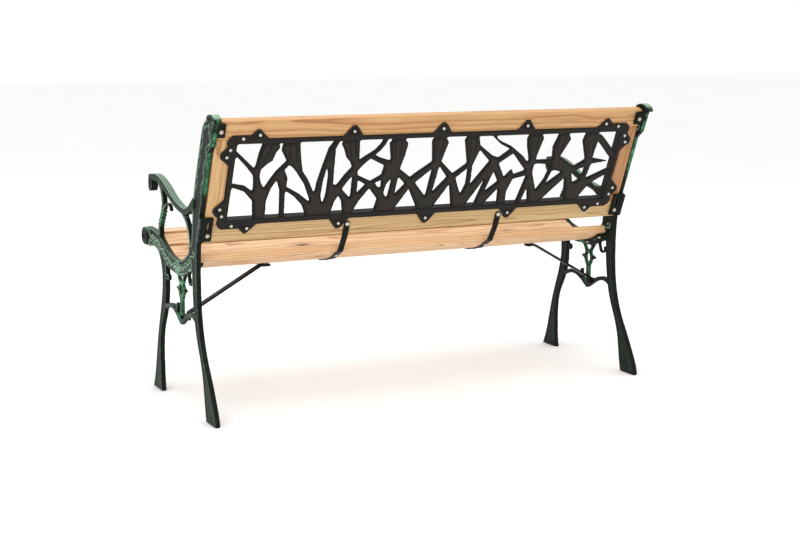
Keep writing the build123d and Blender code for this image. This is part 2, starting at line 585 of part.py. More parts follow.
def brace_fasteners():
    """Bolt and nut through the casting's strut, and a screw into the slat, for each brace."""
    wall, ceiling = brace_levels()
    half = BRACE_THICKNESS / 2 + TOUCH
    bolt_x = wall - half
    grip = BRACE_THICKNESS + 2 * TOUCH + WEB + NUT_HEIGHT + 1
    left_bolt = Pos(bolt_x, BRACE_Y, BRACE_BOLT_Z) * Rot(0, -90, 0) * bolt(grip, 11)
    left_nut = Pos(ARM_X + WEB / 2, BRACE_Y, BRACE_BOLT_Z) * Rot(0, -90, 0) * nut()
    left_screw = Pos(BRACE_SCREW_X, BRACE_Y, ceiling - half) * Rot(180, 0, 0) * screw(STRAP_SCREW)
    return [[left, mirrored(left)] for left in (left_bolt, left_nut, left_screw)]


nodes["end_frame_left"] = cast_end()
nodes["end_frame_right"] = mirrored(nodes["end_frame_left"])
nodes["back_top_rail"] = rail(RAIL_RISE, False)
nodes["back_bottom_rail"] = rail(-RAIL_RISE, True)
nodes["back_stile_left"] = stile(1)
nodes["back_stile_right"] = stile(-1)
nodes["tulip_panel"] = tulip_panel()
for index in range(SLAT_COUNT):
    nodes[f"seat_slat_{index + 1}"] = slat(index)
nodes["seat_strap_left"] = strap(1)
nodes["seat_strap_right"] = strap(-1)
nodes["brace_left"] = brace()
nodes["brace_right"] = mirrored(nodes["brace_left"])

for kind, seat_set in zip(("screws", "washers"), seat_fasteners()):
    nodes[f"seat_{kind}"] = Compound(seat_set)
for kind, lug_set in zip(("bolts", "washers", "nuts"), lug_fasteners()):
    nodes[f"back_frame_{kind}"] = Compound(lug_set)
nodes["panel_screws"] = Compound([BACK * Pos(u, v, 0) * screw(PANEL_SCREW) for u, v in panel_screw_places()])
for kind, strap_set in zip(("screws", "bolts", "nuts"), strap_fasteners()):
    nodes[f"strap_{kind}"] = Compound(strap_set)
for kind, brace_set in zip(("bolts", "nuts", "screws"), brace_fasteners()):
    nodes[f"brace_{kind}"] = Compound(brace_set)

front_most = SEAT_ROLL[0] - SEAT_ROLL[2]
rear_most = from_timber_top(CAP_TOP)[-1][0]
to_centre = Pos(0, -(front_most + rear_most) / 2, 0)

for name, shape in nodes.items():
    shape = to_centre * shape
    export_step(shape, f"parts/{name}.step")
    box = shape.bounding_box()
    print(name, [round(v, 1) for v in (*box.min, *box.max)])
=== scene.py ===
"""Garden bench: looks for two cast-iron ends, fir boards, a cast tulip panel and steel hardware."""

import logging
import math
from dataclasses import dataclass, field
from enum import Enum

import bmesh
import bpy
import numpy as np
from mathutils import Matrix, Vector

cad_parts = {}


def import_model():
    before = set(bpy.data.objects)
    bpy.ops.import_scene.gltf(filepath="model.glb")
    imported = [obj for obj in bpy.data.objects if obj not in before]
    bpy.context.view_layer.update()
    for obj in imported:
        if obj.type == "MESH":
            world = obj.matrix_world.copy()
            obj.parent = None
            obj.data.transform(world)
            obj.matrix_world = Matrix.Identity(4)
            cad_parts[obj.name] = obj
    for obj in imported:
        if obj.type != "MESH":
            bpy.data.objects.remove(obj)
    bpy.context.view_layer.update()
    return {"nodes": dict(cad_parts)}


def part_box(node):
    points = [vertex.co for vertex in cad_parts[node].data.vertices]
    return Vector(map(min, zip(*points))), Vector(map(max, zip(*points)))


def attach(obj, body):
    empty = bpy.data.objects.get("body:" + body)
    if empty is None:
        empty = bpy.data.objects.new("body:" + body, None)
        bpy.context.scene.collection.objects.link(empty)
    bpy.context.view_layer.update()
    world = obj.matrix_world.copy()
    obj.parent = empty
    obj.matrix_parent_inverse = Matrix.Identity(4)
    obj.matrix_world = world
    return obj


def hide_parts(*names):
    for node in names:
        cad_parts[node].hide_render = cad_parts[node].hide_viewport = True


LOG = logging.getLogger("garden_bench")
Array = np.ndarray
MM = 0.001

WALL_TILT = 0.55        # a point whose normal leans less than this towards the thickness is on a wall
FIELD_CELL = 0.0015     # cell of the grid on which the distance from the outline is worked out
FIELD_REACH = 0.024     # greatest distance from the outline that matters


# ------------------------------------------------------------------ small tools
def linear(hex_colour: str) -> tuple[float, float, float, float]:
    """Turn an sRGB hex colour into the linear colour that a shader takes.

    Args:
        hex_colour: six hex digits, such as "c99a66".

    Returns:
        Red, green, blue and an alpha of 1, all linear.
    """
    parts = [int(hex_colour[i:i + 2], 16) / 255 for i in (0, 2, 4)]
    lin = [p / 12.92 if p <= 0.04045 else ((p + 0.055) / 1.055) ** 2.4 for p in parts]
    return (lin[0], lin[1], lin[2], 1.0)


def smooth_step(low: float, high: float, value: Array) -> Array:
    """Ramp from 0 at low to 1 at high with level ends: 3t^2 - 2t^3 of the clipped share t."""
    t = np.clip((value - low) / (high - low), 0.0, 1.0)
    return t * t * (3 - 2 * t)


def bump(distance: Array, width: float) -> Array:
    """Rounded ridge of height 1: the bell exp(-(distance / width)^2)."""
    return np.exp(-(distance / width) ** 2)


def mesh_from(name: str, points: Array, quads: list[list[int]]) -> bpy.types.Object:
    """Make a smooth-shaded object at the origin from points in metres and faces.

    Args:
        name: the piece's name.
        points: N by 3 array of places.
        quads: faces, as lists of point numbers.

    Returns:
        The new object, linked to the scene.
    """
    mesh = bpy.data.meshes.new(name)
    mesh.from_pydata(points.tolist(), [], quads)
    mesh.validate()
    outward(mesh)
    piece = bpy.data.objects.new(name, mesh)
    bpy.context.collection.objects.link(piece)
    mesh.shade_smooth()
    return piece


def outward(mesh: bpy.types.Mesh) -> None:
    """Turn every closed shell of a mesh so that its faces point outwards.

    Args:
        mesh: the mesh to turn.
    """
    work = bmesh.new()
    work.from_mesh(mesh)
    bmesh.ops.recalc_face_normals(work, faces=work.faces)
    work.to_mesh(mesh)
    work.free()


def tube_faces(stations: int, ring: int, start: int = 0) -> list[list[int]]:
    """Quads between rings of points, with one many-sided face closing each end.

    Args:
        stations: number of rings.
        ring: points in a ring.
        start: number of the first point.

    Returns:
        The faces of a closed tube.
    """
    s, r = np.meshgrid(np.arange(stations - 1), np.arange(ring), indexing="ij")
    after = (r + 1) % ring
    quads = np.stack([s * ring + r, s * ring + after, (s + 1) * ring + after, (s + 1) * ring + r], axis=-1)
    faces = (quads.reshape(-1, 4) + start).tolist()
    faces.append((np.arange(ring)[::-1] + start).tolist())
    faces.append((np.arange(ring) + (stations - 1) * ring + start).tolist())
    return faces


def rounded_rectangle(width: float, height: float, radius: float, steps: int = 5) -> Array:
    """Outline of a rectangle whose corners are quarter circles.

    Each corner's points are its centre plus radius times (cos a, sin a) over a quarter turn.

    Args:
        width: full width.
        height: full height.
        radius: radius of the corners.
        steps: points in each corner.

    Returns:
        Points of the outline, anticlockwise.
    """
    turn = np.linspace(0, math.pi / 2, steps)
    corners = []
    for quarter, (sx, sy) in enumerate(((1, 1), (-1, 1), (-1, -1), (1, -1))):
        angle = turn + quarter * math.pi / 2
        centre = np.array([sx * (width / 2 - radius), sy * (height / 2 - radius)])
        corners.append(centre + radius * np.stack([np.cos(angle), np.sin(angle)], axis=-1))
    return np.concatenate(corners)


def smooth_line(points: list[tuple[float, float]], count: int) -> Array:
    """Even points on a smooth curve through the given ones (Catmull-Rom between neighbours).

    Args:
        points: places that the curve passes through, in millimetres.
        count: points wanted.

    Returns:
        count by 2 array, in metres.
    """
    p = np.asarray(points, float) * MM
    p = np.concatenate([[2 * p[0] - p[1]], p, [2 * p[-1] - p[-2]]])
    t = np.linspace(0, len(points) - 1 - 1e-9, count)
    i = t.astype(int)
    f = (t - i)[:, None]
    a, b, c, d = p[i], p[i + 1], p[i + 2], p[i + 3]
    square, cube = 2 * a - 5 * b + 4 * c - d, 3 * b - a - 3 * c + d
    return 0.5 * (2 * b + (c - a) * f + square * f ** 2 + cube * f ** 3)


def along(line: Array, places: Array) -> tuple[Array, Array]:
    """Nearest point of an open line, for many places at once.

    The place is projected on every straight piece of the line and the nearest piece is kept.

    Args:
        line: points of the line, K by 2.
        places: N by 2 array.

    Returns:
        Length along the line to the nearest point, and the distance from it, positive on the
        left of the line's direction.
    """
    start, step = line[:-1], np.diff(line, axis=0)
    length = np.linalg.norm(step, axis=1)
    unit = step / length[:, None]
    offset = places[:, None, :] - start[None]
    share = np.clip((offset * unit).sum(-1), 0, length)
    nearest = offset - share[..., None] * unit
    gap = np.linalg.norm(nearest, axis=-1)
    best = gap.argmin(axis=1)
    row = np.arange(len(places))
    side = np.sign(unit[best, 0] * offset[row, best, 1] - unit[best, 1] * offset[row, best, 0])
    before = np.concatenate([[0], np.cumsum(length)[:-1]])
    return before[best] + share[row, best], gap[row, best] * side


def edge_distance(walls: Array, places: Array, step: float, reach: float) -> Array:
    """Distance from places on a flat face to the nearest wall, worked out on a square grid.

    The cells that hold a wall point start at 0 and every other cell takes, again and again, the
    least of its neighbours plus the way to them.

    Args:
        walls: points on the walls, K by 2.
        places: N by 2 array.
        step: size of a cell.
        reach: greatest distance that matters.

    Returns:
        One distance for each place.
    """
    low = np.minimum(walls.min(axis=0), places.min(axis=0)) - 3 * step
    high = np.maximum(walls.max(axis=0), places.max(axis=0)) + 3 * step
    shape = tuple(((high - low) / step).astype(int) + 2)
    grid = np.full(shape, reach)
    cell = ((walls - low) / step).round().astype(int)
    grid[cell[:, 0], cell[:, 1]] = 0.0
    for _ in range(int(reach / step)):
        for dy, dx in ((1, 0), (-1, 0), (0, 1), (0, -1), (1, 1), (1, -1), (-1, 1), (-1, -1)):
            cost = step * math.hypot(dy, dx)
            grid = np.minimum(grid, np.roll(grid, (dy, dx), axis=(0, 1)) + cost)
    for _ in range(2):
        beside = np.roll(grid, 1, 0) + np.roll(grid, -1, 0) + np.roll(grid, 1, 1) + np.roll(grid, -1, 1)
        grid = (grid + beside) / 5
    at = (places - low) / step
    i = at.astype(int)
    f = at - i
    near = grid[i[:, 0], i[:, 1]] * (1 - f[:, 0]) + grid[i[:, 0] + 1, i[:, 1]] * f[:, 0]
    far = grid[i[:, 0], i[:, 1] + 1] * (1 - f[:, 0]) + grid[i[:, 0] + 1, i[:, 1] + 1] * f[:, 0]
    return near * (1 - f[:, 1]) + far * f[:, 1]


def read_points(mesh: bpy.types.Mesh) -> tuple[Array, Array]:
    """Read a mesh's points.

    Args:
        mesh: the mesh to read.

    Returns:
        Places and normals, as N by 3 arrays.
    """
    points = np.empty(len(mesh.vertices) * 3)
    normals = np.empty(len(mesh.vertices) * 3)
    mesh.vertices.foreach_get("co", points)
    mesh.vertex_normals.foreach_get("vector", normals)
    return points.reshape(-1, 3), normals.reshape(-1, 3)


def write_points(mesh: bpy.types.Mesh, points: Array) -> None:
    """Put new places into a mesh."""
    mesh.vertices.foreach_set("co", points.ravel())
    mesh.update()


def write_share(mesh: bpy.types.Mesh, name: str, values: Array) -> None:
    """Store one number for each point of a mesh, for its material to read."""
    layer = mesh.attributes.new(name, "FLOAT", "POINT")
    layer.data.foreach_set("value", np.clip(values, 0, 1).astype(np.float32))


def softened_copy(node: str, name: str, cell: float, passes: int,
                  turn: Matrix | None = None) -> bpy.types.Object:
    """Copy of a metal part with its sharp edges rounded over, as they leave a sand mould.

    The copy is merged, rebuilt from even cells and relaxed a few times.

    Args:
        node: name of the part in the frame.
        name: name of the copy.
        cell: size of the cells.
        passes: times that the surface is relaxed.
        turn: transform into the frame that the cells are lined up with.

    Returns:
        The new object, still in the turned frame.
    """
    work = bmesh.new()
    work.from_mesh(bpy.data.objects[node].data)
    bmesh.ops.remove_doubles(work, verts=work.verts, dist=1e-6)
    if turn is not None:
        work.transform(turn)
    mesh = bpy.data.meshes.new(name + "_rough")
    work.to_mesh(mesh)
    work.free()
    rough = bpy.data.objects.new(name + "_rough", mesh)
    bpy.context.collection.objects.link(rough)
    remesh = rough.modifiers.new("cells", "REMESH")
    remesh.mode = "VOXEL"
    remesh.voxel_size = cell
    relax = rough.modifiers.new("relax", "SMOOTH")
    relax.factor = 0.5
    relax.iterations = passes
    graph = bpy.context.evaluated_depsgraph_get()
    fine = bpy.data.meshes.new_from_object(rough.evaluated_get(graph))
    fine.name = name
    bpy.data.objects.remove(rough)
    bpy.data.meshes.remove(mesh)
    piece = bpy.data.objects.new(name, fine)
    bpy.context.collection.objects.link(piece)
    fine.shade_smooth()
    fine.materials.clear()
    return piece


# ------------------------------------------------------------------ finishes
def blank(name: str) -> tuple[bpy.types.Material, bpy.types.Node]:
    """New node material with one principled shader on its output.

    Args:
        name: the finish's name.

    Returns:
        The material and its shader node.
    """
    material = bpy.data.materials.new(name)
    material.use_nodes = True
    return material, material.node_tree.nodes["Principled BSDF"]


def add(material: bpy.types.Material, kind: str, settings: dict | None = None, links: dict | None = None,
        **properties) -> bpy.types.Node:
    """Add one node with its settings and links.

    Args:
        material: the material that gets the node.
        kind: node type, without the ShaderNode in front.
        settings: values for input sockets, by name or number.
        links: sockets to link in, by the same keys.
        **properties: properties of the node itself.

    Returns:
        The new node.
    """
    tree = material.node_tree
    node = tree.nodes.new("ShaderNode" + kind)
    for key, value in properties.items():
        setattr(node, key, value)
    for key, value in (settings or {}).items():
        node.inputs[key].default_value = value
    for key, socket in (links or {}).items():
        tree.links.new(socket, node.inputs[key])
    return node


def ramp(material: bpy.types.Material, factor: bpy.types.NodeSocket,
         stops: list[tuple[float, str]]) -> bpy.types.NodeSocket:
    """Colour from a factor.

    Args:
        material: the material that gets the node.
        factor: where on the ramp to read.
        stops: (place, hex colour) along the ramp.

    Returns:
        The colour.
    """
    node = add(material, "ValToRGB", links={"Fac": factor})
    elements = node.color_ramp.elements
    while len(elements) < len(stops):
        elements.new(0.5)
    for element, (place, colour) in zip(elements, stops):
        element.position = place
        element.color = linear(colour)
    return node.outputs["Color"]


def mixed(material: bpy.types.Material, factor: bpy.types.NodeSocket | float,
          first: bpy.types.NodeSocket | str, second: bpy.types.NodeSocket | str,
          how: str = "MIX") -> bpy.types.NodeSocket:
    """Blend two colours, each a socket or a hex colour, by a factor.

    Args:
        material: the material that gets the node.
        factor: share of the second colour, a socket or a number.
        first: the colour at 0.
        second: the colour at 1.
        how: blend type.

    Returns:
        The blended colour.
    """
    node = add(material, "Mix", data_type="RGBA", blend_type=how)
    for socket, value in ((node.inputs[0], factor), (node.inputs[6], first), (node.inputs[7], second)):
        if isinstance(value, str):
            socket.default_value = linear(value)
        elif isinstance(value, float):
            socket.default_value = value
        else:
            material.node_tree.links.new(value, socket)
    return node.outputs[2]


def maths(material: bpy.types.Material, how: str, *values: bpy.types.NodeSocket | float,
          clamp: bool = False) -> bpy.types.NodeSocket:
    """One arithmetic step.

    Args:
        material: the material that gets the node.
        how: the operation.
        *values: sockets or numbers that it works on.
        clamp: whether the result is kept from 0 to 1.

    Returns:
        The result.
    """
    node = add(material, "Math", operation=how, use_clamp=clamp)
    for socket, value in zip(node.inputs, values):
        if isinstance(value, (int, float)):
            socket.default_value = value
        else:
            material.node_tree.links.new(value, socket)
    return node.outputs[0]


def noise(material: bpy.types.Material, where: bpy.types.NodeSocket, grain_mm: float, detail: float = 3.0,
          roughness: float = 0.5) -> bpy.types.NodeSocket:
    """Noise whose blotches are grain_mm across."""
    node = add(material, "TexNoise", {"Scale": 1 / (grain_mm * MM), "Detail": detail, "Roughness": roughness},
               {"Vector": where})
    return node.outputs["Fac"]


def cover(material: bpy.types.Material, shader: bpy.types.Node, colour: bpy.types.NodeSocket,
          rough: bpy.types.NodeSocket, grain: bpy.types.NodeSocket | None = None, strength: float = 0.0,
          depth: float = 0.0) -> None:
    """Put a colour, a roughness and a fine relief on a shader.

    Args:
        material: the material that holds the shader.
        shader: the shader.
        colour: base colour.
        rough: roughness.
        grain: height of the fine relief, if there is one.
        strength: strength of the relief.
        depth: depth of the relief, in metres.
    """
    links = material.node_tree.links
    links.new(colour, shader.inputs["Base Color"])
    links.new(rough, shader.inputs["Roughness"])
    if grain is not None:
        skin = add(material, "Bump", {"Strength": strength, "Distance": depth}, {"Height": grain})
        links.new(skin.outputs[0], shader.inputs["Normal"])


@dataclass(frozen=True)
class PatinatedIron:
    """Sand-cast iron, painted black and rubbed with green: raised edges catch the green, and a pale painted
    highlight lies on ridges, tops and rims.
    """

    black: str = "080b09"
    shade: str = "0f1611"
    green: str = "2a5a3c"
    bright: str = "5c9c6c"
    # pale: colour of the painted highlight, the light on ridges, tops and rims.
    pale: str = "a9ccb0"
    gloss: float = 0.12

    def make(self) -> bpy.types.Material:
        """Build the finish, which reads the attributes rub, how much green, and pale, how much painted
        highlight lies on the black.

        Returns:
            The material.
        """
        material, shader = blank("cast_iron_green_rubbed_black_paint")
        where = add(material, "TexCoord").outputs["Object"]
        rub = add(material, "Attribute", attribute_name="rub").outputs["Fac"]
        pale = add(material, "Attribute", attribute_name="pale").outputs["Fac"]
        # The rag skips: blotches of 7 mm broken up by a 1.6 mm sand grain.
        stretched = add(material, "Mapping", {"Scale": (1.0, 1.0, 0.45)}, {"Vector": where}).outputs[0]
        blotch = noise(material, stretched, 7.0, 4.0, 0.65)
        sand = noise(material, where, 1.6, 2.0)
        cloud = noise(material, where, 30.0, 2.0)
        skip = maths(material, "MULTIPLY_ADD", blotch, 1.5, -0.75)
        fine = maths(material, "MULTIPLY_ADD", sand, 0.6, -0.3)
        level = maths(material, "ADD", maths(material, "ADD", rub, skip), fine, clamp=True)
        body = ramp(material, cloud, [(0.35, self.black), (0.7, self.shade)])
        coat = ramp(material, level, [(0.28, self.shade), (0.6, self.green), (0.95, self.bright)])
        share = ramp(material, level, [(0.12, "000000"), (0.55, "ffffff")])
        covered = mixed(material, share, body, coat)
        # Painted highlight: the pale colour laid over the black where the pale attribute is high, broken into
        # specks.
        speck = noise(material, stretched, 3.0, 3.0, 0.7)
        broken = maths(material, "MULTIPLY_ADD", speck, 3.4, -0.95, clamp=True)
        lightness = maths(material, "MULTIPLY", pale, maths(material, "ADD", broken, 0.25), clamp=True)
        colour = mixed(material, lightness, covered, self.pale)
        # Paint over a sand-mould skin: half gloss, with fine pits.
        rough = maths(material, "MULTIPLY_ADD", blotch, 0.25, 0.34)
        cover(material, shader, colour, rough, sand, strength=0.35, depth=0.0006)
        shader.inputs["Specular IOR Level"].default_value = self.gloss
        return material


@dataclass(frozen=True)
class BlackenedCasting:
    """Cast panel, sprayed bronze-black: satin, with a fine grain and a warm brown painted highlight along the
    leaf crests.
    """

    dark: str = "131110"
    # warm: colour of the painted highlight along the leaf crests.
    warm: str = "2d2824"
    green: str = "1f2a20"
    gloss: float = 0.12

    def make(self) -> bpy.types.Material:
        """Build the finish, which reads the painted highlight attribute, 1 along the middle of a leaf and low
        at its edges and in the petal grooves.

        Returns:
            The material.
        """
        material, shader = blank("cast_panel_bronze_black_spray")
        where = add(material, "TexCoord").outputs["Object"]
        crest_highlight = add(material, "Attribute", attribute_name="crest_highlight").outputs["Fac"]
        cloud = noise(material, where, 45.0, 3.0)
        grain = noise(material, where, 1.8, 2.0)
        # Painted highlight: warm brown along the leaf crests and dark as painted shade at the leaf edges and
        # in the petal grooves; the green tint follows the crests.
        base = ramp(material, crest_highlight, [(0.0, self.dark), (1.0, self.warm)])
        tint = maths(material, "MULTIPLY", ramp(material, cloud, [(0.55, "000000"), (0.75, "b0b0b0")]), crest_highlight)
        colour = mixed(material, tint, base, self.green)
        rough = maths(material, "MULTIPLY_ADD", grain, 0.2, 0.40)
        cover(material, shader, colour, rough, grain, strength=0.25, depth=0.0005)
        shader.inputs["Specular IOR Level"].default_value = self.gloss
        return material


@dataclass(frozen=True)
class VarnishedFir:
    """Sawn and sanded fir under clear varnish: straight grain, reddish latewood, small knots.

    The pattern follows the board's attribute board: along, across and through, in metres.
    """

    name: str
    pale: str = "dcb885"
    tan: str = "c99a66"
    late: str = "a9713f"
    red: str = "b5764a"
    knot: str = "5a3220"
    ring_mm: float = 5.0
    knots: float = 1.0
    streak: float = 0.5
    pith: tuple[float, float] = (0.012, -0.035)

    def make(self) -> bpy.types.Material:
        """Build the finish.

        Returns:
            The material.
        """
        material, shader = blank("fir_clear_varnish_" + self.name)
        board = add(material, "Attribute", attribute_name="board").outputs["Vector"]
        # Slow wander of the grain along the board.
        slow = add(material, "Mapping", {"Scale": (2.2, 12.0, 12.0)}, {"Vector": board}).outputs[0]
        wander = add(material, "TexNoise", {"Scale": 1.0, "Detail": 2.0}, {"Vector": slow}).outputs["Color"]
        shift = add(material, "VectorMath", {1: (0.5, 0.5, 0.5)}, {0: wander},
                    operation="SUBTRACT").outputs[0]
        shift = add(material, "VectorMath", {1: (0.0, 0.020, 0.020)}, {0: shift},
                    operation="MULTIPLY").outputs[0]
        bent = add(material, "VectorMath", {}, {0: board, 1: shift}, operation="ADD").outputs[0]
        # Knots: cells about 230 mm long and 70 mm wide, with the middle of each one dark.
        cells = add(material, "Mapping", {"Scale": (4.4, 14.0, 10.0)}, {"Vector": board}).outputs[0]
        knot = add(material, "TexVoronoi", {"Scale": 1.0, "Randomness": 0.9}, {"Vector": cells})
        swirl = ramp(material, knot.outputs["Distance"], [(0.0, "ffffff"), (0.42, "000000")])
        spot = ramp(material, knot.outputs["Distance"], [(0.05, "ffffff"), (0.11, "000000")])
        halo = ramp(material, knot.outputs["Distance"], [(0.08, "ffffff"), (0.24, "000000")])
        # Growth rings: distance from the heart of the tree, pushed aside round each knot.
        parts = add(material, "SeparateXYZ", {}, {0: bent})
        across = maths(material, "SUBTRACT", parts.outputs["Y"], self.pith[0])
        through = maths(material, "SUBTRACT", parts.outputs["Z"], self.pith[1])
        square = maths(material, "ADD", maths(material, "MULTIPLY", across, across),
                       maths(material, "MULTIPLY", through, through))
        radius = maths(material, "ADD", maths(material, "SQRT", square),
                       maths(material, "MULTIPLY", swirl, 0.006))
        turns = maths(material, "MULTIPLY", radius, 1 / (self.ring_mm * MM))
        saw = maths(material, "FRACT", turns)
        rings = ramp(material, saw, [(0.0, self.pale), (0.5, self.pale), (0.82, self.tan), (0.93, self.late),
                                     (1.0, self.pale)])
        # Reddish heartwood in long streaks.
        long = add(material, "Mapping", {"Scale": (3.0, 45.0, 45.0)}, {"Vector": board}).outputs[0]
        streak = add(material, "TexNoise", {"Scale": 1.0, "Detail": 3.0, "Roughness": 0.6}, {"Vector": long})
        red = ramp(material, streak.outputs["Fac"], [(0.48, "000000"), (0.72, "ffffff")])
        tone = mixed(material, maths(material, "MULTIPLY", red, self.streak), rings, self.red)
        # Fibres 60 mm long, drawn 1.1 mm across because real ones are too fine to show.
        fibre_at = add(material, "Mapping", {"Scale": (16.0, 900.0, 900.0)}, {"Vector": board}).outputs[0]
        fibre = add(material, "TexNoise", {"Scale": 1.0, "Detail": 2.0}, {"Vector": fibre_at}).outputs["Fac"]
        lines = ramp(material, fibre, [(0.3, "d8c6b0"), (0.65, "ffffff")])
        fibred = mixed(material, 0.7, tone, lines, "MULTIPLY")
        haloed = mixed(material, maths(material, "MULTIPLY", halo, 0.75 * self.knots), fibred, self.late)
        colour = mixed(material, maths(material, "MULTIPLY", spot, self.knots), haloed, self.knot)
        rough = maths(material, "MULTIPLY_ADD", fibre, 0.18, 0.38)
        cover(material, shader, colour, rough, fibre, strength=0.2, depth=0.0003)
        shader.inputs["Coat Weight"].default_value = 0.15
        shader.inputs["Coat Roughness"].default_value = 0.25
        return material


@dataclass(frozen=True)
class PaintedBar:
    """Hot-rolled flat bar, dipped in black paint: low gloss with faint runs."""

    black: str = "0b0b0a"
    worn: str = "1a1917"
    gloss: float = 0.1

    def make(self) -> bpy.types.Material:
        """Build the finish.

        Returns:
            The material.
        """
        material, shader = blank("flat_steel_black_dip_paint")
        where = add(material, "TexCoord").outputs["Object"]
        runs = noise(material, where, 14.0, 3.0)
        grain = noise(material, where, 1.2, 2.0)
        colour = ramp(material, runs, [(0.35, self.black), (0.75, self.worn)])
        rough = maths(material, "MULTIPLY_ADD", runs, 0.3, 0.25)
        cover(material, shader, colour, rough, grain, strength=0.15, depth=0.0003)
        shader.inputs["Specular IOR Level"].default_value = self.gloss
        return material


@dataclass(frozen=True)
class ZincPlate:
    """Pressed steel, bright zinc plated: pale grey metal with a slightly milky, warm gloss."""

    name: str = "bright"
    bright: str = "d9d6cc"
    dull: str = "a8a59b"

    def make(self) -> bpy.types.Material:
        """Build the finish.

        Returns:
            The material.
        """
        material, shader = blank("steel_zinc_plate_" + self.name)
        where = add(material, "TexCoord").outputs["Object"]
        spangle = noise(material, where, 2.5, 3.0)
        colour = ramp(material, spangle, [(0.3, self.dull), (0.65, self.bright)])
        cover(material, shader, colour, maths(material, "MULTIPLY_ADD", spangle, 0.2, 0.28))
        shader.inputs["Metallic"].default_value = 0.85
        return material


def dress(piece: bpy.types.Object, material: bpy.types.Material) -> None:
    """Give a piece one finish all over."""
    piece.data.materials.clear()
    piece.data.materials.append(material)


# ------------------------------------------------------------------ cast ends
class Side(Enum):
    """Which end of the bench, by the sitter's hand; the value is the sign of x."""

    LEFT = 1
    RIGHT = -1


@dataclass(frozen=True)
class GreenRub:
    """How much green the rag leaves on each kind of place, from 0 to 1."""

    edges: float = 0.55
    ornament: float = 0.9
    back: float = 0.62
    lower_post: float = 0.12
    cap: float = 0.5
    tops: float = 0.30
    feet: float = 0.22
    strut: float = 0.45
    rope: float = 0.40
    rolls: float = 0.25
    inboard_loss: float = 0.8
    arm_loss: float = 0.5


@dataclass(frozen=True)
class PaintedSheen:
    """How much painted highlight, light on ridges, tops and rims, lies on each kind of place, from 0 to 1."""

    arm: float = 0.10
    arm_ridges: float = 0.62
    cap: float = 0.6
    seat_band: float = 0.30
    rim: float = 0.14
    rim_middle: float = 0.45
    rim_back: float = 0.30
    ornament: float = 0.75


@dataclass(frozen=True)
class Shares:
    """How far each point of a casting belongs to each kind of surface, from 0 to 1."""

    facing: Array
    web: Array
    sunk: Array
    ornament: Array
    scroll: Array
    twist: Array
    arm: Array
    flute: Array


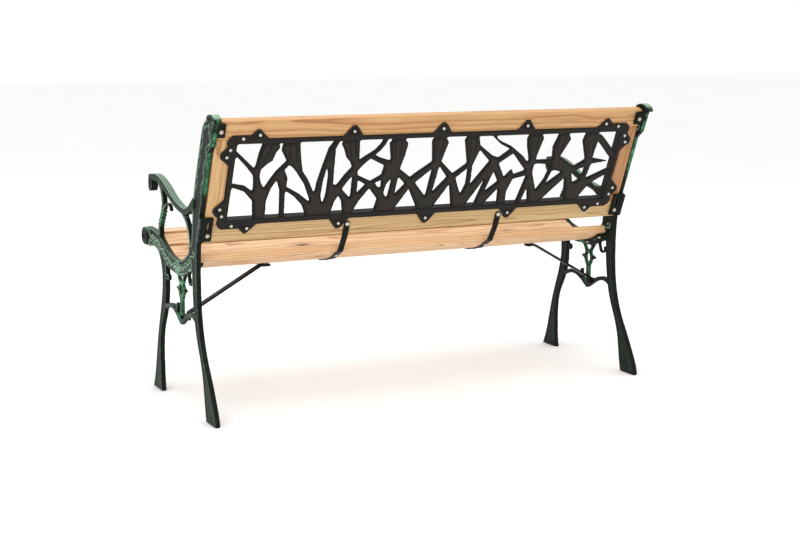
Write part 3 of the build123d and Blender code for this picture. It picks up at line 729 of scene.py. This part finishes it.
@dataclass
class CastEnd:
    """One cast-iron end: softened casting with rims, flutes, scrolls, leaves and a rosette.

    Outlines are in millimetres in the side plane, as (y, z).
    """

    side: Side
    middle_x: float = 0.597
    cell: float = 0.0018
    passes: int = 4
    rim: float = 0.0042
    sunk: float = 0.0014
    band: list[tuple[float, float]] = field(default_factory=lambda: [
        (-242, 386), (-226, 385), (-185, 388), (-148, 381), (-119, 368), (-84, 352), (-45, 344), (-4, 341),
        (31, 346), (64, 360), (88, 376), (108, 391)])
    arm: list[tuple[float, float]] = field(default_factory=lambda: [
        (-208, 540), (-190, 542), (-140, 543), (-110, 535), (-70, 518), (-41, 505), (-1, 492), (39, 485),
        (64, 486), (90, 497), (114, 514)])
    support: list[tuple[float, float]] = field(default_factory=lambda: [
        (-136, 400), (-138, 425), (-124, 450), (-113, 470), (-112, 495), (-124, 522)])
    arm_roll: tuple[float, float, float] = (-197.5, 528, 18)
    seat_roll: tuple[float, float, float] = (-240.5, 386, 23)
    rosette: tuple[float, float, float] = (-8, 341, 15)
    flute: float = 0.0066
    vine_pitch: float = 0.042
    sprig_pitch: float = 0.052
    rope_pitch: float = 0.0105
    scroll_growth: float = 2.1
    ornament_height: float = 0.0017
    scroll_depth: float = 0.0022
    rope_height: float = 0.0011
    flute_depth: float = 0.0014
    strut: tuple[float, float] = (0.0095, 0.27)
    back_low: float = 0.50
    cap_low: float = 0.695
    green: GreenRub = GreenRub()
    # Amounts of painted highlight, the light on ridges, tops and rims.
    sheen: PaintedSheen = PaintedSheen()

    def build(self) -> bpy.types.Object:
        """Make the casting with its relief and its rub and pale attributes.

        Returns:
            The finished piece.
        """
        node = "end_frame_" + self.side.name.lower()
        piece = softened_copy(node, "cast_end_" + self.side.name.lower(), self.cell, self.passes)
        points, normals = read_points(piece.data)
        out = np.abs(points[:, 0]) - self.middle_x
        plane = points[:, 1:]
        walls = plane[np.abs(normals[:, 0]) < WALL_TILT]
        inset = edge_distance(walls, plane, FIELD_CELL, FIELD_REACH)
        height, shares = self.relief(points, normals, out, inset)
        rub, pale = self.paint(points, normals, out, inset, shares)
        write_points(piece.data, points + normals * height[:, None])
        write_share(piece.data, "rub", rub)
        write_share(piece.data, "pale", pale)
        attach(piece, "root")
        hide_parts(node)
        return piece

    def relief(self, points: Array, normals: Array, out: Array, inset: Array) -> tuple[Array, Shares]:
        """Height of the cast ornament.

        The plain faces sink inside a raised rim, and the ornament stands on them.

        Args:
            points: places of the points.
            normals: their normals.
            out: distance outwards from the casting's middle plane.
            inset: distance from the outline.

        Returns:
            Height along the normal, and the kinds of surface that the paint goes by.
        """
        plane, z = points[:, 1:], points[:, 2]
        facing = smooth_step(0.6, 0.9, np.abs(normals[:, 0]))
        web = facing * smooth_step(0.0085, 0.0078, np.abs(out))
        sunk = smooth_step(self.rim * 0.7, self.rim * 1.4, inset)
        flower, in_flower = self.flower(plane, web)
        scroll, clear = self.scrolls(plane, facing)
        ornament = (self.vine(plane, web) * (1 - in_flower) + flower * in_flower) * clear
        post = web * smooth_step(0.52, 0.55, z) * smooth_step(0.715, 0.70, z)
        ornament = np.maximum(ornament, 0.8 * self.sprig(points, inset) * post * sunk)
        rope, twist = self.rope(plane, out)
        arm = self.arm_top(plane, normals)
        flute = 0.5 - 0.5 * np.cos(2 * math.pi * out / self.flute)
        height = -self.sunk * sunk * web - self.scroll_depth * scroll + self.rope_height * rope * twist
        height -= self.flute_depth * flute * arm * smooth_step(0.0095, 0.0085, np.abs(out))
        height += self.ornament_height * ornament
        return height, Shares(facing, web, sunk, ornament, scroll, twist, arm, flute)

    def vine(self, plane: Array, web: Array) -> Array:
        """Vine on the seat band: a sine along the band, with a veined leaf in each bend.

        The leaves lie on the opposite sine and swell as a squared cosine.

        Args:
            plane: places in the side plane.
            web: share of the thin web's side faces.

        Returns:
            Height share of the vine.
        """
        at, off = along(smooth_line(self.band, 60), plane)
        inside = web * smooth_step(0.019, 0.016, np.abs(off)) * smooth_step(0.02, 0.035, at)
        inside = inside * smooth_step(0.385, 0.37, at)
        sway = np.sin(2 * math.pi * at / self.vine_pitch)
        stalk = bump(off - 0.006 * sway, 0.0016)
        side = off + 0.0055 * sway
        swell = 0.5 + 0.5 * np.cos(4 * math.pi * (at + self.vine_pitch / 4) / self.vine_pitch)
        veins = 0.75 + 0.25 * np.cos(2 * math.pi * (at + 0.6 * np.abs(side)) / 0.004)
        return np.maximum(stalk, bump(side, 0.0035) * swell ** 2 * veins) * inside

    def flower(self, plane: Array, web: Array) -> tuple[Array, Array]:
        """Rosette: a bell in the middle, eight petals as a cosine of the angle, and a ring.

        Args:
            plane: places in the side plane.
            web: share of the thin web's side faces.

        Returns:
            Height share of the rosette, and where it stands.
        """
        cy, cz, radius = (v * MM for v in self.rosette)
        reach = np.hypot(plane[:, 0] - cy, plane[:, 1] - cz)
        angle = np.arctan2(plane[:, 1] - cz, plane[:, 0] - cy)
        petals = bump(reach - 0.55 * radius, 0.35 * radius) * (0.55 + 0.45 * np.cos(8 * angle))
        ring = bump(reach - radius, 0.0014)
        raised = np.maximum(np.maximum(petals, bump(reach, 0.2 * radius)), ring)
        return raised, web * smooth_step(1.15 * radius, radius, reach)

    def scrolls(self, plane: Array, facing: Array) -> tuple[Array, Array]:
        """Spiral grooves on the rolled ends of the arm and of the seat band.

        A groove's middle is where the logarithm of the reach, less the share of a turn, is a half.

        Args:
            plane: places in the side plane.
            facing: share of the side faces.

        Returns:
            Depth share of the grooves, and how far each point is clear of the rolls.
        """
        groove = np.zeros(len(plane))
        clear = np.ones(len(plane))
        for roll in (self.arm_roll, self.seat_roll):
            cy, cz, radius = (v * MM for v in roll)
            reach = np.hypot(plane[:, 0] - cy, plane[:, 1] - cz)
            angle = np.arctan2(plane[:, 1] - cz, -(plane[:, 0] - cy))
            turns = np.log(np.maximum(reach, 1e-4) / radius) / math.log(self.scroll_growth)
            turns -= angle / (2 * math.pi)
            inside = smooth_step(radius, 0.9 * radius, reach) * facing
            groove += inside * (0.5 - 0.5 * np.cos(2 * math.pi * turns))
            clear *= 1 - inside
        return groove, clear

    def rope(self, plane: Array, out: Array) -> tuple[Array, Array]:
        """Rope twist round the arm's support: a cosine of the way along plus the way round.

        Args:
            plane: places in the side plane.
            out: distance outwards from the casting's middle plane.

        Returns:
            Height of the strands, from -1 to 1, and where the rope is.
        """
        at, off = along(smooth_line(self.support, 40), plane)
        inside = smooth_step(0.010, 0.008, np.abs(off)) * smooth_step(0.022, 0.030, at)
        inside = inside * smooth_step(0.085, 0.077, at)
        return np.cos(2 * math.pi * (at / self.rope_pitch) + 2.2 * np.arctan2(out, off)), inside

    def arm_top(self, plane: Array, normals: Array) -> Array:
        """Upper face of the arm, where two flutes run between three ridges.

        Args:
            plane: places in the side plane.
            normals: the points' normals.

        Returns:
            Share of that face.
        """
        at, off = along(smooth_line(self.arm, 60), plane)
        on_arm = smooth_step(0.45, 0.8, normals[:, 2]) * smooth_step(0.016, 0.012, np.abs(off))
        return on_arm * smooth_step(0.40, 0.38, at) * (plane[:, 1] > 0.47)

    def sprig(self, points: Array, inset: Array) -> Array:
        """Sprig up the post: a stem that sways as a sine, with a leaf in each bend.

        Args:
            points: places of the points.
            inset: distance from the outline.

        Returns:
            Height share of the sprig.
        """
        rise = (points[:, 1] - 0.12) * 0.36 + points[:, 2] * 0.933
        bend = 0.0045 * np.sin(2 * math.pi * rise / self.sprig_pitch)
        swell = 0.5 + 0.5 * np.cos(4 * math.pi * rise / self.sprig_pitch)
        leaf = bump(inset - 0.011 + 0.8 * bend, 0.0028) * swell ** 3
        return np.maximum(bump(inset - 0.011 - bend, 0.0016), leaf)

    def paint(self, points: Array, normals: Array, out: Array, inset: Array,
              on: Shares) -> tuple[Array, Array]:
        """Where the rag leaves green and where a painted highlight lies.

        Edges, ornament and faces that look up or back catch the green; ridges, tops and rims get a painted
        highlight.

        Args:
            points: places of the points.
            normals: their normals.
            out: distance outwards from the casting's middle plane.
            inset: distance from the outline.
            on: the kinds of surface.

        Returns:
            The attributes rub, how much green, and pale, the painted highlight.
        """
        y, z = points[:, 1], points[:, 2]
        green, sheen, strut = self.green, self.sheen, self.strut
        corner = np.clip(1 - np.abs(2.6 * np.abs(normals[:, 0]) - 1.7), 0, 1)
        rear_face = smooth_step(0.6, 0.9, normals[:, 1]) * smooth_step(0.0066, 0.0046, np.abs(out))
        outer = smooth_step(0.0, 0.004, out)
        inboard = smooth_step(0.0065, 0.009, -out) * (z > 0.40) * (y > 0.10)
        back = smooth_step(self.back_low, self.back_low + 0.06, z)
        back = back * smooth_step(self.cap_low, self.cap_low - 0.015, z)
        rub = green.edges * corner * outer + green.ornament * on.ornament
        rub += rear_face * (green.back * back + green.lower_post * (z < self.back_low)
                            + green.cap * (z > self.cap_low))
        rub += green.tops * smooth_step(0.5, 0.9, normals[:, 2])
        rub += green.feet * on.web * on.sunk * smooth_step(0.24, 0.12, z)
        rub += green.strut * smooth_step(0.030, 0.020, np.hypot(y - strut[0], (z - strut[1]) * 0.35))
        rub += green.rope * on.twist
        rub += green.rolls * (1 - on.scroll) * on.facing * (np.abs(out) > 0.009)
        rub *= 1 - green.inboard_loss * inboard
        rub -= green.arm_loss * on.arm
        # Painted highlight: the upward faces of the cap and seat band, the arm's ridges with painted shade in
        # its flutes, thin light lines along the rims, and the raised ornament.
        crown = smooth_step(0.5, 0.85, normals[:, 2]) * (np.abs(out) < 0.02)
        ridges = sheen.arm + sheen.arm_ridges * (1 - on.flute) ** 2
        pale = on.arm * ridges * smooth_step(0.0105, 0.0090, np.abs(out))
        band = smooth_step(0.003, 0.006, out) * (z > 0.34) * (z < 0.47)
        pale += crown * (sheen.cap * (z > 0.71) + sheen.seat_band * band)
        rim = bump(inset - 0.0032, 0.0011) * on.web * outer
        pale += rim * (sheen.rim_middle * (z > 0.30) * (z < 0.52) + sheen.rim_back * (z > 0.52) + sheen.rim)
        pale += sheen.ornament * on.ornament ** 2
        return rub, pale


# ------------------------------------------------------------------ tulip panel
@dataclass
class TulipPanel:
    """Cast back panel: leaves raised along the middle and tulip heads of three petals.

    Heads are the base, the tip and the half width, in millimetres, in the panel's own plane: first
    towards -X, the sitter's right, then up the slope.
    """

    lean: float = math.radians(21.1)
    cell: float = 0.0021
    passes: int = 4
    leaf_half: float = 0.0085
    drop: float = 0.0026
    lattice: float = 0.009
    half_opening: float = 0.5372
    half_rise: float = 0.0992
    heads: list[tuple[float, float, float, float, float]] = field(default_factory=lambda: [
        (-476, 36, -452, 106, 22), (-383, 34, -399, 106, 23), (-295, 40, -283, 106, 11),
        (-228, 42, -245, 106, 21), (-111, 33, -118, 106, 24), (0, 32, -2, 106, 21), (100, 38, 91, 106, 21),
        (279, 38, 274, 106, 22), (352, 30, 360, 106, 22), (457, 28, 446, 106, 24)])

    def build(self) -> bpy.types.Object:
        """Make the panel and its painted highlight attribute.

        Returns:
            The finished piece.
        """
        to_world = self.plane()
        piece = softened_copy("tulip_panel", "cast_tulip_panel", self.cell, self.passes, to_world.inverted())
        points, normals = read_points(piece.data)
        flat = points[:, :2]
        facing = np.abs(normals[:, 2])
        thin = np.abs(points[:, 2] + self.lattice / 2) < self.lattice
        inset = edge_distance(flat[(facing < WALL_TILT) & thin], flat, FIELD_CELL, FIELD_REACH)
        inside = smooth_step(self.half_opening + 0.002, self.half_opening - 0.002, np.abs(flat[:, 0]))
        inside = inside * smooth_step(self.half_rise + 0.002, self.half_rise - 0.002, np.abs(flat[:, 1]))
        share = np.clip(inset / self.leaf_half, 0, 1)
        crown = -self.drop * (1 - share) ** 1.6
        petal, body = self.petals(flat)
        crown = crown * (1 - 0.5 * body) - 0.0021 * petal
        level = smooth_step(0.55, 0.9, facing) * inside
        points[:, 2] += np.sign(normals[:, 2]) * crown * level
        points[:, 2] = np.minimum(points[:, 2], 0.0)
        points = points @ np.array(to_world.to_3x3()).T + np.array(to_world.translation)
        write_points(piece.data, points)
        # Painted highlight: light along each leaf's middle, painted shade at the leaf edges and in the petal
        # grooves, and a light line along the border 3 mm in from its edges.
        rim = bump(inset - 0.003, 0.002) * (1 - inside)
        write_share(piece.data, "crest_highlight", (share ** 1.5) * inside * (1 - petal) + 0.6 * rim)
        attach(piece, "root")
        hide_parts("tulip_panel")
        return piece

    def plane(self) -> Matrix:
        """Transform from the panel's own plane to the bench, found from the panel's box.

        Returns:
            Matrix whose origin is the middle of the panel's rear face.
        """
        low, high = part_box("tulip_panel")
        rise = np.array([0, math.sin(self.lean), math.cos(self.lean)])
        back = np.array([0, math.cos(self.lean), -math.sin(self.lean)])
        points, _ = read_points(bpy.data.objects["tulip_panel"].data)
        up_slope = points @ rise
        middle = (up_slope.max() + up_slope.min()) / 2
        origin = rise * middle + back * (points @ back).max()
        matrix = Matrix.Identity(4)
        for row in range(3):
            matrix[row][0] = (-1.0, 0.0, 0.0)[row]
            matrix[row][1] = rise[row]
            matrix[row][2] = back[row]
            matrix[row][3] = origin[row]
        matrix[0][3] = (low[0] + high[0]) / 2
        return matrix

    def petals(self, flat: Array) -> tuple[Array, Array]:
        """Grooves between the three petals of each head.

        Across a head, whose half width swells as a sine from base to tip, a groove runs on each
        side at two fifths of the half width, bowed outwards at the middle.

        Args:
            flat: places in the panel's plane.

        Returns:
            Groove depth share and how far a place belongs to a head.
        """
        groove = np.zeros(len(flat))
        body = np.zeros(len(flat))
        for base_u, base_v, tip_u, tip_v, half in self.heads:
            base = np.array([base_u, base_v]) * MM
            axis = np.array([tip_u, tip_v]) * MM - base
            length = np.linalg.norm(axis)
            axis = axis / length
            offset = flat - base
            share = offset @ axis / length
            across = offset @ np.array([-axis[1], axis[0]])
            swell = half * MM * (0.35 + 0.65 * np.sin(np.clip(share, 0, 1) * math.pi * 0.75))
            belongs = smooth_step(-0.05, 0.1, share) * smooth_step(1.1, 1.0, share)
            belongs = belongs * smooth_step(1.25, 1.0, np.abs(across) / swell)
            line = bump(np.abs(across) - 0.36 * swell, 0.0016) * smooth_step(0.08, 0.3, share)
            groove = np.maximum(groove, line * belongs)
            body = np.maximum(body, belongs)
        return groove, body


# ------------------------------------------------------------------ boards
@dataclass
class Board:
    """One fir board, planed, with eased edges, laid exactly over its place in the frame."""

    node: str
    finish: VarnishedFir
    upright: bool = False
    edge: float = 0.0026
    end_ease: float = 0.0012
    stations: int = 26
    seed: float = 0.0

    def build(self) -> bpy.types.Object:
        """Make the board: a rounded rectangle carried along the grain, drawn in at both ends.

        Returns:
            The finished piece.
        """
        points, _ = read_points(bpy.data.objects[self.node].data)
        centre, long_way, short_way, size_long, size_short = self.tightest(points[:, 1:])
        low, high = points[:, 0].min(), points[:, 0].max()
        along_x = np.array([1.0, 0.0, 0.0])
        if self.upright:
            grain, across, length, width = long_way, along_x, size_long, high - low
        else:
            grain, across, length, width = along_x, long_way, high - low, size_long
        middle = np.array([(low + high) / 2, centre[0], centre[1]])
        ends = np.array([0, 0.15, 0.45, 1.0]) * self.end_ease
        inside = np.linspace(ends[-1], length - ends[-1], self.stations)[1:-1]
        stations = np.concatenate([ends, inside, length - ends[::-1]]) - length / 2
        shrink = self.end_ease * (1 - np.sqrt(np.clip(1 - (1 - ends / self.end_ease) ** 2, 0, 1)))
        inward = np.concatenate([shrink, np.zeros(len(inside)), shrink[::-1]])
        outline = rounded_rectangle(width, size_short, self.edge)
        scale_w = (width - 2 * inward) / width
        scale_t = (size_short - 2 * inward) / size_short
        w = outline[None, :, 0] * scale_w[:, None]
        t = outline[None, :, 1] * scale_t[:, None]
        g = np.broadcast_to(stations[:, None], w.shape)
        local = np.stack([g, w, t], axis=-1).reshape(-1, 3)
        world = middle + local @ np.stack([grain, across, short_way])
        faces = tube_faces(len(stations), len(outline))
        piece = mesh_from("fir_" + self.node, world, faces)
        layer = piece.data.attributes.new("board", "FLOAT_VECTOR", "POINT")
        layer.data.foreach_set("vector", (local + np.array([self.seed, 0, 0])).ravel())
        self.flatten_shading(piece)
        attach(piece, "root")
        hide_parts(self.node)
        return piece

    @staticmethod
    def tightest(flat: Array) -> tuple[Array, Array, Array, float, float]:
        """Smallest turned rectangle round points in the side plane.

        Every angle of a quarter turn is tried at once and the least area is kept.

        Args:
            flat: places as (y, z).

        Returns:
            Centre, long direction, short direction, long size and short size.
        """
        angle = np.radians(np.arange(0, 90, 0.05))
        a = np.stack([np.cos(angle), np.sin(angle)])
        b = np.stack([-np.sin(angle), np.cos(angle)])
        hull = flat[:: max(1, len(flat) // 4000)]
        pa, pb = hull @ a, hull @ b
        size_a, size_b = np.ptp(pa, axis=0), np.ptp(pb, axis=0)
        best = (size_a * size_b).argmin()
        mid = a[:, best] * (pa[:, best].max() + pa[:, best].min()) / 2
        mid = mid + b[:, best] * (pb[:, best].max() + pb[:, best].min()) / 2
        ways = [(size_a[best], a[:, best]), (size_b[best], b[:, best])]
        ways.sort(key=lambda way: -way[0])
        (long_size, long_way), (short_size, short_way) = ways
        long_way, short_way = (np.array([0.0, *way]) for way in (long_way, short_way))
        return mid, long_way, short_way, long_size, short_size

    @staticmethod
    def flatten_shading(piece: bpy.types.Object) -> None:
        """Keep the flat faces flat and the eased edges smooth."""
        shading = piece.modifiers.new("shading", "WEIGHTED_NORMAL")
        shading.keep_sharp = True


# ------------------------------------------------------------------ studio
@dataclass
class Studio:
    """Pale floor, soft light and a long lens behind the bench's left end."""

    place: tuple[float, float, float] = (1.8087, 3.4367, 0.9846)
    azimuth: float = math.radians(152.17)
    elevation: float = math.radians(9.99)
    roll: float = math.radians(0.68)
    lens: float = 67.8
    floor_half: float = 14.0
    floor_cells: int = 8
    floor_drop: float = 0.0005

    def build(self) -> None:
        """Make the floor, the lights, the sky and the camera."""
        self.floor()
        self.lights()
        self.camera()
        bpy.context.scene.view_settings.view_transform = "Standard"

    def floor(self) -> None:
        """Flat floor: an even grid of points, half a millimetre below the feet."""
        reach = np.linspace(-self.floor_half, self.floor_half, self.floor_cells + 1)
        x, y = np.meshgrid(reach, reach, indexing="ij")
        points = np.stack([x, y, np.full_like(x, -self.floor_drop)], axis=-1).reshape(-1, 3)
        cell = np.arange(self.floor_cells)
        i, j = np.meshgrid(cell, cell, indexing="ij")
        first = i * len(reach) + j
        after = first + len(reach)
        quads = np.stack([first, after, after + 1, first + 1], axis=-1).reshape(-1, 4).tolist()
        mesh = bpy.data.meshes.new("floor")
        mesh.from_pydata(points.tolist(), [], quads)
        floor = bpy.data.objects.new("floor", mesh)
        bpy.context.collection.objects.link(floor)
        material, shader = blank("floor_matt_white_paint")
        where = add(material, "TexCoord").outputs["Object"]
        cloud = noise(material, where, 400.0, 2.0)
        colour = ramp(material, cloud, [(0.3, "f4f4f3"), (0.7, "f7f7f6")])
        material.node_tree.links.new(colour, shader.inputs["Base Color"])
        shader.inputs["Roughness"].default_value = 0.9
        dress(floor, material)

    def lights(self) -> None:
        """Large soft panels over and beside the bench, and an even white sky."""
        world = bpy.data.worlds.new("studio")
        world.use_nodes = True
        bpy.context.scene.world = world
        background = world.node_tree.nodes["Background"]
        background.inputs["Color"].default_value = (1, 1, 1, 1)
        background.inputs["Strength"].default_value = 1.04
        for name, place, size, power in (("over", (0.3, 0.4, 3.2), 2.6, 40.0),
                                         ("rear_left", (2.6, 2.4, 2.0), 1.6, 24.0),
                                         ("front", (-0.8, -3.0, 2.2), 2.0, 14.0)):
            light = bpy.data.lights.new(name, "AREA")
            light.size = size
            light.energy = power
            lamp = bpy.data.objects.new(name, light)
            bpy.context.collection.objects.link(lamp)
            aim = np.array([0, 0, 0.4]) - np.array(place)
            aim = aim / np.linalg.norm(aim)
            side = np.cross(aim, [0, 0, 1]) if abs(aim[2]) < 0.99 else np.array([1.0, 0, 0])
            side = side / np.linalg.norm(side)
            up = np.cross(side, aim)
            lamp.matrix_world = self.facing(place, side, up, -aim)

    @staticmethod
    def facing(place: tuple[float, float, float], right: Array, up: Array, back: Array) -> Matrix:
        """Matrix of something at place whose own axes are right, up and back."""
        return Matrix([[right[i], up[i], back[i], place[i]] for i in range(3)] + [[0, 0, 0, 1]])

    def camera(self) -> None:
        """Camera behind the left end, a little above the seat back."""
        a, e, r = self.azimuth, self.elevation, self.roll
        back = np.array([math.sin(a) * math.cos(e), -math.cos(a) * math.cos(e), math.sin(e)])
        right = np.cross([0, 0, 1], back)
        right = right / np.linalg.norm(right)
        up = np.cross(back, right)
        rolled = math.cos(r) * right + math.sin(r) * up
        upright = -math.sin(r) * right + math.cos(r) * up
        data = bpy.data.cameras.new("camera")
        data.lens = self.lens
        data.sensor_width = 36
        data.clip_end = 60
        camera = bpy.data.objects.new("camera", data)
        bpy.context.collection.objects.link(camera)
        camera.matrix_world = self.facing(self.place, rolled, upright, back)
        bpy.context.scene.camera = camera


# ------------------------------------------------------------------ the bench
@dataclass
class Hardware:
    """Straps, braces and fasteners, which keep the frame's own shapes."""

    bars: tuple[str, ...] = ("seat_strap_left", "seat_strap_right", "brace_left", "brace_right")
    bright: tuple[str, ...] = ("panel_screws", "seat_screws", "seat_washers", "strap_screws", "strap_bolts",
                               "strap_nuts", "brace_screws", "back_frame_washers", "back_frame_nuts")
    nickel: tuple[str, ...] = ("back_frame_bolts",)
    painted: tuple[str, ...] = ("brace_bolts", "brace_nuts")

    def dress(self, nodes: dict[str, bpy.types.Object]) -> None:
        """Give every strap, brace and fastener its finish.

        Args:
            nodes: the frame's parts by name.
        """
        for names, material in ((self.bars + self.painted, PaintedBar().make()),
                                (self.bright, ZincPlate().make()),
                                (self.nickel, ZincPlate("warm", "cfc4ae", "9c917d").make())):
            for name in names:
                dress(nodes[name], material)
                LOG.info("dressed %s", name)


def boards() -> list[Board]:
    """Plan the ten boards with their finishes.

    Returns:
        The boards, ready to build.
    """
    top = VarnishedFir("top_rail", "cfa46c", "bd8a54", "9f6636", "ac6b3c", streak=0.6, ring_mm=7,
                       pith=(0.02, -0.05))
    bottom = VarnishedFir("bottom_rail", "cbae7a", "bb975f", "9c7038", "ad7c4a", streak=0.3, ring_mm=6,
                          pith=(-0.01, -0.02))
    left = VarnishedFir("left_stile", "cea873", "bd915c", "9f6a3a", "ae7346", streak=0.55, ring_mm=6,
                        pith=(0.01, -0.04))
    right = VarnishedFir("right_stile", "b88652", "a87545", "8a572f", "9a6238", streak=0.5, ring_mm=6,
                         pith=(0.0, -0.05))
    seat = VarnishedFir("seat", "e6c092", "d5a674", "b8814e", "c98b5e", streak=0.4, ring_mm=6,
                        pith=(0.01, -0.03))
    plan = [Board("back_top_rail", top, seed=0.3), Board("back_bottom_rail", bottom, seed=2.1),
            Board("back_stile_left", left, upright=True, seed=4.0),
            Board("back_stile_right", right, upright=True, seed=5.2)]
    plan += [Board(f"seat_slat_{i + 1}", seat, seed=7.0 + 1.7 * i) for i in range(6)]
    return plan


def main() -> None:
    """Build the bench in order and report each piece."""
    logging.basicConfig(level=logging.INFO, format="%(name)s: %(message)s")
    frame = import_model()
    iron = PatinatedIron().make()
    for side in Side:
        casting = CastEnd(side).build()
        dress(casting, iron)
        LOG.info("%s with %d faces", casting.name, len(casting.data.polygons))
    panel = TulipPanel().build()
    dress(panel, BlackenedCasting().make())
    LOG.info("%s with %d faces", panel.name, len(panel.data.polygons))
    finishes: dict[str, bpy.types.Material] = {}
    for board in boards():
        piece = board.build()
        if board.finish.name not in finishes:
            finishes[board.finish.name] = board.finish.make()
        dress(piece, finishes[board.finish.name])
        LOG.info("%s", piece.name)
    Hardware().dress(frame["nodes"])
    Studio().build()


if __name__ == "__main__":
    main()
